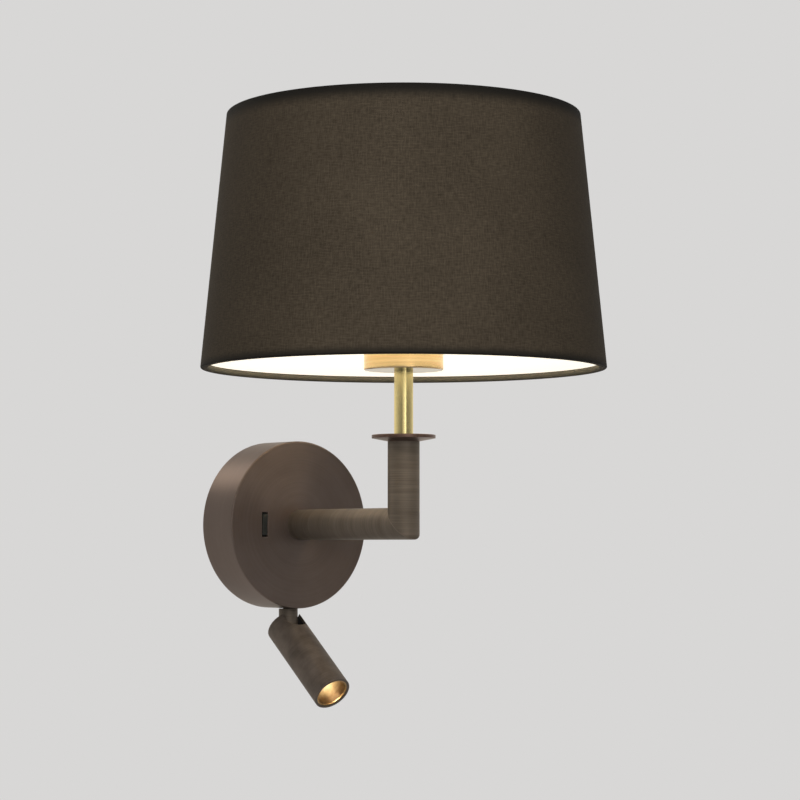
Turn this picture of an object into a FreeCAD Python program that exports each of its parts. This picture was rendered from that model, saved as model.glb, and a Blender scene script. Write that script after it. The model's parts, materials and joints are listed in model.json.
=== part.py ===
import FreeCAD, Part
import math
import os
from FreeCAD import Placement, Rotation, Vector

# Arm wall sconce with a reading light. Millimetres, +Z up.
# The origin is the centre of the backplate's back, on the wall. The lamp stands out along -Y.

# Fits
cut_over = 2.0  # how far a cutting tool runs past what it cuts
thread_gap = 0.05  # round a screw in its tapped hole
run_gap = 0.05  # round a shaft that turns in its hole
turn_gap = 0.1  # between two faces that turn on one another
seat_gap = 0.1  # under a piece that seats on a curved wall

# Backplate cover, a deep round dish
cover_r = 55.0
cover_depth = 32.0
cover_wall = 2.0
cover_edge_r = 0.8

# Wall bracket, pressed from steel sheet
bracket_t = 1.5
bracket_room = 7.0  # from the disc's edge to the inside of the cover
tab_width = 14.0
tab_length = 8.5
tab_room = 0.4  # at the tab's corners, inside the cover
slot_pitch = 60.0
slot_length = 10.0
slot_width = 4.5
grub_r = 2.0
grub_length = 6.0
grub_from_wall = 5.0
grub_sunk = 0.4
grub_socket = 2.0  # across the flats

# Cable grommet
grommet_r = 9.0
grommet_flange = 2.5
grommet_flange_t = 1.5
cable_r = 4.0

# Terminal block on the bracket
terminal_width = 30.0
terminal_depth = 14.0
terminal_height = 17.0
terminal_room = 14.0  # from its top to the inside of the cover
terminal_screw_r = 1.6
terminal_screw_sunk = 0.8
terminal_screw_length = 5.0
terminal_ways = 3
terminal_edge_r = 1.0
notch_share = 0.2  # of a screw's radius, half a screwdriver notch
terminal_width_share = 0.3  # from one way to the next
terminal_row_share = 0.26  # from the middle to each row of screws

# Earth screw
earth_aside = 20.0
earth_below = 24.0
earth_r = 2.0
earth_head_r = 4.0
earth_head_t = 2.4

# Driver of the reading light, potted in a small case
driver_aside = 11.0
driver_below = 12.0
driver_room = 3.5  # from its outer corner to the inside of the cover
driver_corner = 43.4  # way to that corner, down from the level
driver_margin = 3.9  # case past the reader's lead
driver_edge_r = 1.2

# Rocker switch
switch_aside = 28.25
switch_width = 4.7
switch_height = 16.1
switch_side_gap = 0.5
switch_end_gap = 0.7
switch_well_gap = 0.5  # past the rocker's ends, inside the case
switch_turn = 6.0
switch_proud = 0.1
switch_pivot_depth = 3.4  # from the cover's face to the trunnions
switch_case_wall = 3.4
switch_case_end = 2.0
switch_behind = 1.6  # rocker behind its trunnions
trunnion_r = 0.9
trunnion_length = 1.2
switch_room = 3.0  # behind the rocker
switch_back = 2.0  # case past the lead that enters it

# Arm, two tubes mitred at the elbow
arm_r = 10.0
arm_wall = 1.5
arm_reach = 140.0  # from the wall to the upright's axis
arm_rise = 51.4  # from the level tube's axis to the upright's top
arm_plug_length = 14.0

# Screwed fastening of the arm
nipple_r = 5.0
nipple_bore_r = 3.5
nipple_inside = 10.0  # how far it stands inside the cover's face
nut_across = 14.0
nut_t = 4.0
washer_r = 8.0
washer_t = 1.0
washer_teeth = 12

# Collar disc
collar_r = 20.0
collar_cone_h = 1.9
collar_rim_h = 2.1
collar_edge_r = 0.3

# Brass stem and gallery
stem_r = 6.0
stem_length = 40.4
stem_bore_gap = 0.1
gallery_r = 25.0
gallery_height = 20.0
gallery_wall = 1.2
gallery_edge_r = 1.0

# Lampholder
rod_grip = 10.0
holder_neck_r = 9.0
holder_neck_h = 2.0
holder_taper_h = 6.0
holder_cap_r = 19.0
holder_cap_h = 18.0
holder_wall = 2.0
holder_skirt_h = 32.0
holder_skirt_bore_r = 15.5
holder_thread_r = 19.5
shoulder_r = 23.5
shoulder_t = 3.0
shoulder_lift = 8.0
insert_gap = 0.2
shell_r = 14.0
shell_wall = 0.4
shell_h = 26.0
contact_r = 3.0
contact_h = 3.0
contact_flat_share = 0.5  # of the contact's radius, its flat top
contact_dome = (0.8, 0.8)  # shares of its radius and height, a point on its dome

# Shade ring nut
ring_nut_r = 26.0
ring_nut_h = 8.0
ring_nut_edge_r = 1.0

# Lamp
lamp_length = 108.0
lamp_globe_r = 30.0
lamp_neck_r = 12.6
lamp_glass = 1.0
lamp_cone_angle = 30.0  # of the neck, from the axis
lamp_tip_r = 5.0
lamp_tip_h = 1.5
lamp_insulator_r = 11.0
lamp_insulator_h = 2.5
lamp_cap_r = 12.5
lamp_cap_wall = 0.8
lamp_ridge = 0.6
lamp_pitch = 3.6
lamp_turns = 6

# Shade
shade_bottom_r = 127.0
shade_top_r = 111.2
shade_h = 160.0
shade_lift = 0.8  # from the gallery's bottom to the shade's
fabric_t = 0.8
liner_t = 0.8
ring_wire_r = 1.25
hem_t = 0.8
hem_turned_in = 5.0
ring_gap = 0.05
spider_bore_gap = 1.5  # round the holder's thread
spider_r = 30.0
spider_t = 1.5
spoke_r = 1.25
spoke_inset = 0.8
spokes = 3
first_spoke = 90.0

# Reading light: the stem that swivels under the cover
reader_inset = 12.4  # from the cover's face back to the swivel axis
reader_stem_r = 6.25
reader_stem_gap = 0.3
reader_pivot_drop = 14.8  # from the cover's rim down to the tilt axis
reader_neck_r = 3.5
reader_neck_top = 1.5  # past the nut
reader_bore_r = 2.0
saddle_r = 7.5
saddle_h = 3.5
stop_wall = 1.3
stop_wall_h = 2.2
stop_washer_r = 5.8
stop_washer_t = 1.2
stop_tab_gap = 0.3
stop_tab_width = 3.0
swivel_each_way = 90.0
stop_spare = 2.0
spring_washer_r = 5.6
spring_washer_t = 1.0
reader_nut_across = 11.0
reader_nut_t = 4.0

# Reading light: the head that tilts
head_r = 12.5
head_reach = 61.8  # from the tilt axis to the front
head_back = 4.7  # from the tilt axis to the back
head_tilt = 50.8  # at rest, from straight down
sleeve_wall = 1.6
sleeve_gap = 0.05
sleeve_edge_r = 0.3
eye_gap = 0.35
head_slot_width = 14.0
head_slot_drop = 1.5  # from the tilt axis down to the middle of the slot's round end
pivot_r = 1.5
pivot_inside = 3.2  # inner ends of the two pivot screws, from the middle
pivot_sunk = 0.3
pivot_washer_r = 3.8
pivot_face = 4.5  # spot faces on the ball end, from the middle
pivot_face_gap = 0.3
board_t = 1.6
board_gap = 0.3
chip_r = 3.4
chip_t = 0.8
reflector_recess = 0.6
reflector_wall = 0.5
reflector_throat_r = 4.2
reflector_lip = 0.7
reflector_lip_t = 0.6
reflector_depth = 14.0
reflector_bulge = 1.6  # of its curve outside a straight cone

# Leads held inside
lamp_lead_r = 2.0
elbow_bend = 20.0
lamp_lead_turn = 9.0
small_lead_r = 1.3
small_lead_turn = 6.0
lead_plane_share = 0.75  # of the terminal block's depth
driver_lead_aside = 13.0
switch_lead_aside = 11.0
switch_lead_lift = 4.0
reader_lead_share = 0.55  # down the driver's height

# Worked out from the sizes above
along_x = Vector(1, 0, 0)
out = Vector(0, -1, 0)
up = Vector(0, 0, 1)
down = Vector(0, 0, -1)
cover_inner_r = cover_r - cover_wall
face_inside = cover_depth - cover_wall
tab_outside = math.sqrt((cover_inner_r - tab_room) ** 2 - (tab_width / 2) ** 2)
terminal_lift = cover_inner_r - terminal_room - terminal_height
lead_plane = bracket_t + terminal_depth * lead_plane_share
driver_corner_r = cover_inner_r - driver_room
driver_side = driver_corner_r * math.cos(math.radians(driver_corner))
driver_bottom = driver_corner_r * math.sin(math.radians(driver_corner))
switch_axis = Vector(-switch_aside, -cover_depth + switch_pivot_depth, 0)
switch_back_y = lead_plane - small_lead_r - switch_back
reader_setback = cover_depth - reader_inset
upright = Vector(0, -arm_reach, 0)
collar_z = arm_rise
collar_top = collar_z + collar_cone_h + collar_rim_h
gallery_z = collar_top + stem_length
holder_z = gallery_z + gallery_wall + washer_t + nut_t
rod_top = holder_z + rod_grip
skirt_z = holder_z + holder_cap_h
shoulder_top = skirt_z + shoulder_lift + shoulder_t
lamp_z = skirt_z + contact_h
lamp_cap_z = lamp_tip_h + lamp_insulator_h
lamp_cap_h = lamp_pitch * lamp_turns
shade_z = gallery_z + shade_lift
shade_angle = math.atan2(shade_bottom_r - shade_top_r, shade_h)
slant = shade_h / math.cos(shade_angle)
skin_t = fabric_t + liner_t
hem_depth = skin_t + 2 * ring_wire_r + 2 * ring_gap + hem_t
low_ring = hem_t + ring_gap + ring_wire_r
high_ring = slant - low_ring
pivot = Vector(0, -reader_setback, -cover_r - reader_pivot_drop)
reader_z = -cover_r - reader_stem_gap
saddle_z = -cover_inner_r + saddle_h
stop_z = saddle_z + turn_gap
spring_z = stop_z + stop_washer_t
reader_nut_z = spring_z + spring_washer_t
neck_top_z = reader_nut_z + reader_nut_t + reader_neck_top
core_r = head_r - sleeve_wall - sleeve_gap
eye_room = reader_stem_r + eye_gap
slot_floor = head_slot_drop + head_slot_width / 2
reflector_front = head_reach - reflector_recess
reflector_back = reflector_front - reflector_depth
board_front = reflector_back
core_front = board_front - board_t


def above(height):
    """The point at this height on the upright's axis."""
    return upright + up * height


def bar(radius, start, end):
    return Part.makeCylinder(radius, (end - start).Length, start, end - start)


def pipe(radius, bore, start, end):
    return bar(radius, start, end).cut(bar(bore, start, end))


def block(low, high):
    size = high - low
    return Part.makeBox(size.x, size.y, size.z, low)


def hex_bar(across, start, end):
    """A hexagonal bar between two points, its size taken across the flats."""
    corner = across / math.sqrt(3)
    angles = [math.radians(60 * side) for side in range(7)]
    ring = Part.makePolygon([Vector(corner * math.cos(a), corner * math.sin(a), 0) for a in angles])
    return aimed(Part.Face(ring).extrude(up * (end - start).Length), start, end - start)


def hex_nut(across, bore, start, end):
    return hex_bar(across, start, end).cut(bar(bore, start, end))


def aimed(shape, start, way):
    """The shape moved from the origin to start, its Z axis turned to way."""
    moved = shape.copy()
    moved.Placement = Placement(start, Rotation(up, way))
    return moved


def turned(outline, start, way):
    """A turned solid. The outline's points are (radius, height); (through, end) is an arc."""
    edges = []
    last = Vector(outline[0][0], 0, outline[0][1])
    for step in outline[1:] + outline[:1]:
        if isinstance(step[0], tuple):
            through = Vector(step[0][0], 0, step[0][1])
            end = Vector(step[1][0], 0, step[1][1])
            edges.append(Part.Arc(last, through, end).toShape())
        else:
            end = Vector(step[0], 0, step[1])
            edges.append(Part.LineSegment(last, end).toShape())
        last = end
    face = Part.Face(Part.Wire(edges))
    return aimed(face.revolve(Vector(0, 0, 0), up, 360), start, way)


def round_corner(radius, height, edge):
    """Arc over an outer corner, from the side to the top."""
    inset = edge * (1 - math.sqrt(0.5))
    return ((radius - inset, height - inset), (radius - edge, height))


def lead(points, radius, bend):
    """A round lead along straight runs joined by tangent arcs."""
    if len(points) == 2:
        return bar(radius, points[0], points[1])
    edges = []
    last = points[0]
    for before, corner, after in zip(points, points[1:], points[2:]):
        back = (before - corner).normalize()
        ahead = (after - corner).normalize()
        half = back.getAngle(ahead) / 2
        reach = bend / math.tan(half)
        middle = (back + ahead).normalize()
        centre = corner + middle * (bend / math.sin(half))
        start = corner + back * reach
        end = corner + ahead * reach
        edges.append(Part.LineSegment(last, start).toShape())
        edges.append(Part.Arc(start, centre - middle * bend, end).toShape())
        last = end
    edges.append(Part.LineSegment(last, points[-1]).toShape())
    way = points[1] - points[0]
    section = Part.Wire(Part.makeCircle(radius, points[0], way))
    return Part.Wire(edges).makePipeShell([section], True, False)


# Wall side


def backplate_cover():
    shell = turned(
        [
            (cover_r, 0),
            (cover_r, cover_depth - cover_edge_r),
            round_corner(cover_r, cover_depth, cover_edge_r),
            (0, cover_depth),
            (0, face_inside),
            (cover_inner_r, face_inside),
            (cover_inner_r, 0),
        ],
        Vector(0, 0, 0),
        out,
    )
    shell = shell.cut(bar(nipple_r + thread_gap, out * (face_inside - cut_over), out * (cover_depth + cut_over)))
    slot = block(
        Vector(-switch_aside - switch_width / 2, -cover_depth - cut_over, -switch_height / 2),
        Vector(-switch_aside + switch_width / 2, -face_inside + cut_over, switch_height / 2),
    )
    shell = shell.cut(slot)
    neck = Vector(0, -reader_setback, 0)
    shell = shell.cut(
        bar(reader_neck_r + run_gap, neck + down * (cover_inner_r - cut_over), neck + down * (cover_r + cut_over))
    )
    for side in (up, down):
        hole = out * grub_from_wall
        start = hole + side * (cover_inner_r - cut_over)
        shell = shell.cut(bar(grub_r + thread_gap, start, hole + side * (cover_r + cut_over)))
    return shell


def wall_bracket():
    plate = bar(cover_inner_r - bracket_room, Vector(0, 0, 0), out * bracket_t)
    half = tab_width / 2
    plate = plate.fuse(block(Vector(-half, -bracket_t, -tab_outside), Vector(half, 0, tab_outside)))
    tab_inside = tab_outside - bracket_t
    plate = plate.fuse(block(Vector(-half, -tab_length, tab_inside), Vector(half, 0, tab_outside)))
    plate = plate.fuse(block(Vector(-half, -tab_length, -tab_outside), Vector(half, 0, -tab_inside)))
    plate = plate.removeSplitter()
    bends = [
        edge
        for edge in plate.Edges
        if abs(edge.CenterOfMass.y) < seat_gap and abs(edge.CenterOfMass.z) > tab_outside - seat_gap
    ]
    plate = plate.makeFillet(bracket_t / 2, bends)
    plate = plate.cut(bar(grommet_r + seat_gap, out * -cut_over, out * (bracket_t + cut_over)))
    for side in (-1, 1):
        plate = plate.cut(wall_slot(side * slot_pitch / 2))
        tapped = out * grub_from_wall
        plate = plate.cut(
            bar(
                grub_r + thread_gap,
                tapped + up * (side * (tab_inside - cut_over)),
                tapped + up * (side * (tab_outside + cut_over)),
            )
        )
    earth = Vector(-earth_aside, 0, -earth_below)
    plate = plate.cut(bar(earth_r + thread_gap, earth - out * cut_over, earth + out * (bracket_t + cut_over)))
    return plate


def wall_slot(aside):
    """Cutter of one slotted screw hole, lying along X."""
    straight = (slot_length - slot_width) / 2
    thick = bracket_t + cut_over
    cutter = block(
        Vector(aside - straight, -thick, -slot_width / 2),
        Vector(aside + straight, cut_over, slot_width / 2),
    )
    for side in (-1, 1):
        end = Vector(aside + side * straight, 0, 0)
        cutter = cutter.fuse(bar(slot_width / 2, end - out * cut_over, end + out * thick))
    return cutter


def cover_grub_screws():
    screws = []
    for side in (up, down):
        head = out * grub_from_wall + side * (cover_r - grub_sunk)
        screw = bar(grub_r, head - side * grub_length, head)
        screws.append(screw.cut(hex_bar(grub_socket, head - side * grub_socket, head + side * cut_over)))
    return Part.makeCompound(screws)


def cable_grommet():
    return turned(
        [
            (cable_r, 0),
            (grommet_r, 0),
            (grommet_r, bracket_t),
            (grommet_r + grommet_flange, bracket_t),
            (grommet_r + grommet_flange, bracket_t + grommet_flange_t),
            (cable_r, bracket_t + grommet_flange_t),
        ],
        Vector(0, 0, 0),
        out,
    )


def terminal_places():
    """Axes of the terminal block's screws, on its front."""
    middle = terminal_lift + terminal_height / 2
    row = terminal_height * terminal_row_share
    step = terminal_width * terminal_width_share
    for way in range(terminal_ways):
        for side in (-1, 1):
            yield Vector((way - (terminal_ways - 1) / 2) * step, 0, middle + side * row)


def terminal_block():
    body = block(
        Vector(-terminal_width / 2, -bracket_t - terminal_depth, terminal_lift),
        Vector(terminal_width / 2, -bracket_t, terminal_lift + terminal_height),
    )
    front = [edge for edge in body.Edges if edge.CenterOfMass.y < -bracket_t - terminal_depth + seat_gap]
    body = body.makeFillet(terminal_edge_r, front)
    deep = bracket_t + terminal_depth - terminal_screw_sunk - terminal_screw_length
    for place in terminal_places():
        hole = bar(terminal_screw_r + thread_gap, place + out * deep, place + out * (deep + terminal_depth))
        body = body.cut(hole)
    return body


def terminal_screws():
    front = bracket_t + terminal_depth - terminal_screw_sunk
    screws = []
    for place in terminal_places():
        screw = bar(terminal_screw_r, place + out * (front - terminal_screw_length), place + out * front)
        half = terminal_screw_r * notch_share
        notch = block(
            place + Vector(-terminal_screw_r, -front - cut_over, -half),
            place + Vector(terminal_screw_r, -front + terminal_screw_r / 2, half),
        )
        screws.append(screw.cut(notch))
    return Part.makeCompound(screws)


def earth_screw():
    place = Vector(-earth_aside, 0, -earth_below)
    seat = place + out * bracket_t
    screw = bar(earth_r, place, seat).fuse(bar(earth_head_r, seat, seat + out * earth_head_t))
    half = earth_r * notch_share
    notch = block(
        seat + Vector(-earth_head_r, -earth_head_t - cut_over, -half),
        seat + Vector(earth_head_r, -earth_head_t / 2, half),
    )
    return screw.cut(notch).removeSplitter()


def led_driver():
    case = block(
        Vector(driver_aside, -reader_setback - driver_margin, -driver_bottom),
        Vector(driver_side, -bracket_t, -driver_below),
    )
    corners = [edge for edge in case.Edges if abs(edge.CenterOfMass.y + reader_setback + driver_margin) < seat_gap]
    return case.makeFillet(driver_edge_r, corners)


# Switch


def switch_body():
    half_x = switch_width / 2 + switch_case_wall
    half_z = switch_height / 2 + switch_case_end
    case = block(
        Vector(-switch_aside - half_x, -face_inside, -half_z),
        Vector(-switch_aside + half_x, -switch_back_y, half_z),
    )
    floor_y = switch_axis.y + switch_behind + switch_room
    well_half = switch_height / 2 + switch_well_gap
    well = block(
        Vector(-switch_aside - switch_width / 2, -face_inside - cut_over, -well_half),
        Vector(-switch_aside + switch_width / 2, floor_y, well_half),
    )
    deep = switch_width / 2 + trunnion_length
    bearing = bar(trunnion_r + run_gap, switch_axis - along_x * deep, switch_axis + along_x * deep)
    return case.cut(well).cut(bearing)


def switch_rocker():
    """The rocker at rest: its lower half lies along the cover, its upper half stands proud."""
    half_x = switch_width / 2 - switch_side_gap
    behind_face = switch_pivot_depth - cover_wall
    end_r = math.sqrt((switch_height / 2 - switch_end_gap) ** 2 + behind_face**2)
    level = switch_pivot_depth + switch_proud
    slope = math.tan(math.radians(switch_turn))
    front = [
        Vector(-half_x, -level, -switch_height),
        Vector(-half_x, -level, 0),
        Vector(-half_x, -level - switch_height * slope, switch_height),
        Vector(-half_x, switch_behind, switch_height),
        Vector(-half_x, switch_behind, -switch_height),
    ]
    wedge = Part.Face(Part.makePolygon(front + front[:1])).extrude(along_x * (2 * half_x))
    wedge = wedge.common(bar(end_r, along_x * -half_x, along_x * half_x))
    reach = switch_width / 2 + trunnion_length - seat_gap
    wedge = wedge.fuse(bar(trunnion_r, along_x * -reach, along_x * reach)).removeSplitter()
    wedge.translate(switch_axis)
    return wedge


# Arm


def mitre_side(side):
    """A large block on one side of the elbow's mitre plane."""
    size = 2 * arm_reach
    cutter = Part.makeBox(size, size, size, Vector(-size / 2, -size / 2, 0))
    return aimed(cutter, upright, Vector(0, side, -side))


def arm_tube_horizontal():
    tube = pipe(arm_r, arm_r - arm_wall, out * cover_depth, out * (arm_reach + 2 * arm_r))
    return tube.common(mitre_side(1))


def arm_tube_upright():
    tube = pipe(arm_r, arm_r - arm_wall, above(-2 * arm_r), above(arm_rise))
    return tube.common(mitre_side(-1))


def arm_end_plug():
    start = out * cover_depth
    return pipe(arm_r - arm_wall, nipple_r + thread_gap, start, start + out * arm_plug_length)


def arm_top_plug():
    return pipe(arm_r - arm_wall, nipple_r + thread_gap, above(arm_rise - arm_plug_length), above(arm_rise))


def arm_nipple():
    return pipe(nipple_r, nipple_bore_r, out * (face_inside - nipple_inside), out * (cover_depth + arm_plug_length))


def arm_toothed_washer():
    """Washer whose rim is cut into teeth."""
    start = out * (face_inside - washer_t)
    washer = pipe(washer_r, nipple_r + thread_gap, start, out * face_inside)
    for tooth in range(washer_teeth):
        angle = 2 * math.pi * tooth / washer_teeth
        place = Vector(math.cos(angle), 0, math.sin(angle)) * washer_r
        washer = washer.cut(bar(washer_t, place + start - out * cut_over, place + out * (face_inside + cut_over)))
    return washer


def arm_lock_nut():
    end = out * (face_inside - washer_t)
    return hex_nut(nut_across, nipple_r + thread_gap, end - out * nut_t, end)


def collar_disc():
    top = collar_cone_h + collar_rim_h
    disc = [
        (nipple_r + thread_gap, 0),
        (arm_r, 0),
        (collar_r, collar_cone_h),
        (collar_r, top - collar_edge_r),
        round_corner(collar_r, top, collar_edge_r),
        (nipple_r + thread_gap, top),
    ]
    return turned(disc, above(collar_z), up)


def stem_tube():
    return pipe(stem_r, nipple_r + stem_bore_gap, above(collar_top), above(gallery_z))


def threaded_rod():
    return pipe(nipple_r, nipple_bore_r, above(arm_rise - rod_grip), above(rod_top))


# Gallery and lampholder


def gallery_cup():
    inset = gallery_edge_r * (1 - math.sqrt(0.5))
    inner_r = gallery_r - gallery_wall
    cup = [
        (nipple_r + thread_gap, 0),
        (gallery_r - gallery_edge_r, 0),
        ((gallery_r - inset, inset), (gallery_r, gallery_edge_r)),
        (gallery_r, gallery_height),
        (inner_r, gallery_height),
        (inner_r, gallery_wall),
        (nipple_r + thread_gap, gallery_wall),
    ]
    return turned(cup, above(gallery_z), up)


def gallery_washer():
    start = gallery_z + gallery_wall
    return pipe(washer_r, nipple_r + thread_gap, above(start), above(start + washer_t))


def gallery_nut():
    return hex_nut(nut_across, nipple_r + thread_gap, above(holder_z - nut_t), above(holder_z))


def holder_cap():
    bore = nipple_r + thread_gap
    wide = holder_neck_h + holder_taper_h
    cap = [
        (bore, 0),
        (holder_neck_r, 0),
        (holder_neck_r, holder_neck_h),
        (holder_cap_r, wide),
        (holder_cap_r, holder_cap_h),
        (holder_cap_r - holder_wall, holder_cap_h),
        (holder_cap_r - holder_wall, rod_grip),
        (bore, rod_grip),
    ]
    return turned(cap, above(holder_z), up)


def holder_insert():
    return bar(holder_cap_r - holder_wall - insert_gap, above(rod_top), above(skirt_z))


def holder_contact():
    across, tall = contact_dome
    dome = [
        (0, 0),
        (contact_r, 0),
        (contact_r, contact_h / 2),
        ((contact_r * across, contact_h * tall), (contact_r * contact_flat_share, contact_h)),
        (0, contact_h),
    ]
    return turned(dome, above(skirt_z), up)


def holder_shell():
    """Screwed sleeve that takes the lamp's cap, its thread drawn as plain rings."""
    return pipe(shell_r, shell_r - shell_wall, above(skirt_z), above(skirt_z + shell_h))


def holder_skirt():
    shoulder = shoulder_lift + shoulder_t
    skirt = [
        (holder_skirt_bore_r, 0),
        (holder_cap_r, 0),
        (holder_cap_r, shoulder_lift),
        (shoulder_r, shoulder_lift),
        (shoulder_r, shoulder),
        (holder_thread_r, shoulder),
        (holder_thread_r, holder_skirt_h),
        (holder_skirt_bore_r, holder_skirt_h),
    ]
    return turned(skirt, above(skirt_z), up)


def shade_ring_nut():
    bore = holder_thread_r + thread_gap
    nut = [
        (bore, 0),
        (ring_nut_r, 0),
        (ring_nut_r, ring_nut_h - ring_nut_edge_r),
        round_corner(ring_nut_r, ring_nut_h, ring_nut_edge_r),
        (bore, ring_nut_h),
    ]
    return turned(nut, above(shoulder_top + spider_t), up)


# Lamp


def bulb_contact():
    return bar(lamp_tip_r, above(lamp_z), above(lamp_z + lamp_tip_h))


def bulb_insulator():
    cone = [(0, lamp_tip_h), (lamp_tip_r, lamp_tip_h), (lamp_insulator_r, lamp_cap_z), (0, lamp_cap_z)]
    return turned(cone, above(lamp_z), up)


def bulb_cap():
    """Screwed cap, its thread drawn as rounded rings."""
    root = lamp_cap_r - lamp_ridge
    outline = [(root - lamp_cap_wall, lamp_cap_z), (root, lamp_cap_z)]
    for ring in range(lamp_turns):
        low = lamp_cap_z + lamp_pitch * ring
        outline.append(((lamp_cap_r + lamp_ridge, low + lamp_pitch / 2), (root, low + lamp_pitch)))
    outline.append((root - lamp_cap_wall, lamp_cap_z + lamp_cap_h))
    return turned(outline, above(lamp_z), up)


def globe_section(thin):
    """Outline of the globe, thin millimetres inside its outer face."""
    angle = math.radians(lamp_cone_angle)
    ball = lamp_globe_r - thin
    neck = lamp_neck_r - thin
    centre = lamp_length - lamp_globe_r
    edge_r = ball * math.cos(angle)
    edge_z = centre - ball * math.sin(angle)
    neck_z = edge_z - (edge_r - neck) / math.tan(angle)
    start = lamp_cap_z + lamp_cap_h
    return [
        (0, start),
        (neck, start),
        (neck, neck_z),
        (edge_r, edge_z),
        ((ball * math.cos(angle / 2), centre + ball * math.sin(angle / 2)), (0, centre + ball)),
    ]


def bulb_globe():
    outer = turned(globe_section(0), above(lamp_z), up)
    inner = turned(globe_section(lamp_glass), above(lamp_z), up)
    return outer.cut(inner)


# Shade


def skin(along, inward):
    """(radius, height) of a point: along the skin from its lower edge, and square to it."""
    sine = math.sin(shade_angle)
    cosine = math.cos(shade_angle)
    radius = shade_bottom_r - along * sine - inward * cosine
    return (radius, shade_z + along * cosine - inward * sine)


def skin_band(low, high, outside, inside):
    corners = [skin(low, outside), skin(low, inside), skin(high, inside), skin(high, outside)]
    return turned(corners, upright, up)


def ring_place(along):
    return skin(along, skin_t + ring_gap + ring_wire_r)


def wire_ring(along, grow):
    radius, height = ring_place(along)
    return Part.makeTorus(radius, ring_wire_r + grow, above(height), up)


def shade_fabric():
    return skin_band(hem_t, slant - hem_t, 0, fabric_t)


def shade_liner():
    return skin_band(hem_t, slant - hem_t, fabric_t, skin_t)


def hem(edge, inwards):
    """Turned-in edge: across the skin's end, round the wire and back along the inside."""
    legs = [
        skin(edge, 0),
        skin(edge, hem_depth),
        skin(edge + inwards * hem_turned_in, hem_depth),
        skin(edge + inwards * hem_turned_in, hem_depth - hem_t),
        skin(edge + inwards * hem_t, hem_depth - hem_t),
        skin(edge + inwards * hem_t, 0),
    ]
    return turned(legs, upright, up)


def spoke(turn, grow):
    angle = math.radians(turn)
    way = Vector(math.cos(angle), math.sin(angle), 0)
    radius, height = ring_place(high_ring)
    start = above(shoulder_top + spider_t / 2) + way * (spider_r - spoke_inset - spoke_r)
    return bar(spoke_r + grow, start, above(height) + way * radius)


def shade_spider():
    bore = holder_thread_r + spider_bore_gap
    spider = pipe(spider_r, bore, above(shoulder_top), above(shoulder_top + spider_t))
    for number in range(spokes):
        spider = spider.fuse(spoke(first_spoke + number * 360 / spokes, 0))
    return spider.cut(wire_ring(high_ring, ring_gap)).removeSplitter()


def shade_top_hem():
    top = hem(slant, -1)
    for number in range(spokes):
        top = top.cut(spoke(first_spoke + number * 360 / spokes, ring_gap))
    return top


# Reading light, swivelling part


def stem_axis(height):
    return Vector(0, -reader_setback, height)


def across_pivot(reach):
    return pivot + along_x * reach


def reader_stem():
    stem = bar(reader_stem_r, stem_axis(reader_z), stem_axis(pivot.z - reader_stem_r))
    end = Part.makeSphere(reader_stem_r, pivot)
    shank = block(
        pivot - Vector(reader_stem_r, reader_stem_r, 0),
        Vector(reader_stem_r, pivot.y + reader_stem_r, reader_z),
    )
    stem = stem.common(end.fuse(shank))
    stem = stem.fuse(bar(reader_neck_r, stem_axis(reader_z), stem_axis(neck_top_z)))
    stem = stem.cut(bar(reader_bore_r, stem_axis(pivot.z - 2 * reader_stem_r), stem_axis(neck_top_z)))
    hole = bar(pivot_r + run_gap, across_pivot(-reader_stem_r), across_pivot(reader_stem_r))
    stem = stem.cut(hole)
    for side in (-1, 1):
        spot = pivot_washer_r + pivot_face_gap
        stem = stem.cut(bar(spot, across_pivot(side * pivot_face), across_pivot(side * (reader_stem_r + cut_over))))
    return stem.removeSplitter()


def reader_saddle():
    """Seats on the cover's round inner wall, with a flat top and a wall that stops the swivel."""
    base = pipe(saddle_r, reader_neck_r + run_gap, stem_axis(-cover_r), stem_axis(saddle_z))
    base = base.common(bar(cover_inner_r - seat_gap, Vector(0, 0, 0), out * cover_depth))
    ring = pipe(saddle_r, saddle_r - stop_wall, stem_axis(saddle_z), stem_axis(saddle_z + stop_wall_h))
    middle_r = saddle_r - stop_wall / 2
    tab_half = math.degrees(math.asin(stop_tab_width / 2 / middle_r))
    free = swivel_each_way + tab_half + stop_spare
    free_way = Part.makeCylinder(2 * saddle_r, 2 * stop_wall_h, Vector(0, 0, 0), up, 2 * free)
    free_way.rotate(Vector(0, 0, 0), up, -90 - free)
    free_way.translate(stem_axis(saddle_z - stop_wall_h / 2))
    return base.fuse(ring.cut(free_way)).removeSplitter()


def reader_stop_washer():
    start = stem_axis(stop_z)
    washer = bar(stop_washer_r, start, start + up * stop_washer_t)
    tab = block(
        start - Vector(stop_tab_width / 2, saddle_r - stop_tab_gap, 0),
        start + Vector(stop_tab_width / 2, 0, stop_washer_t),
    )
    washer = washer.fuse(tab)
    return washer.cut(bar(reader_neck_r + thread_gap, start, start + up * stop_washer_t)).removeSplitter()


def reader_spring_washer():
    return pipe(spring_washer_r, reader_neck_r + thread_gap, stem_axis(spring_z), stem_axis(reader_nut_z))


def reader_nut():
    top = stem_axis(reader_nut_z + reader_nut_t)
    return hex_nut(reader_nut_across, reader_neck_r + thread_gap, stem_axis(reader_nut_z), top)


# Reading light, tilting head. It is drawn pointing straight down, then tilted about the pivot.


def head_axis(reach):
    return pivot + down * reach


def tilted(shape):
    head = shape.copy()
    head.rotate(pivot, along_x, -head_tilt)
    return head


def head_slot():
    """Open at the back and the front, and round at its lower end."""
    round_end = head_axis(head_slot_drop)
    front = out * (head_r + cut_over)
    straight = block(
        round_end + Vector(-head_slot_width / 2, 0, 0) + front,
        pivot + Vector(head_slot_width / 2, eye_room, head_back + cut_over),
    )
    return straight.fuse(bar(head_slot_width / 2, round_end - out * eye_room, round_end + front))


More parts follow.
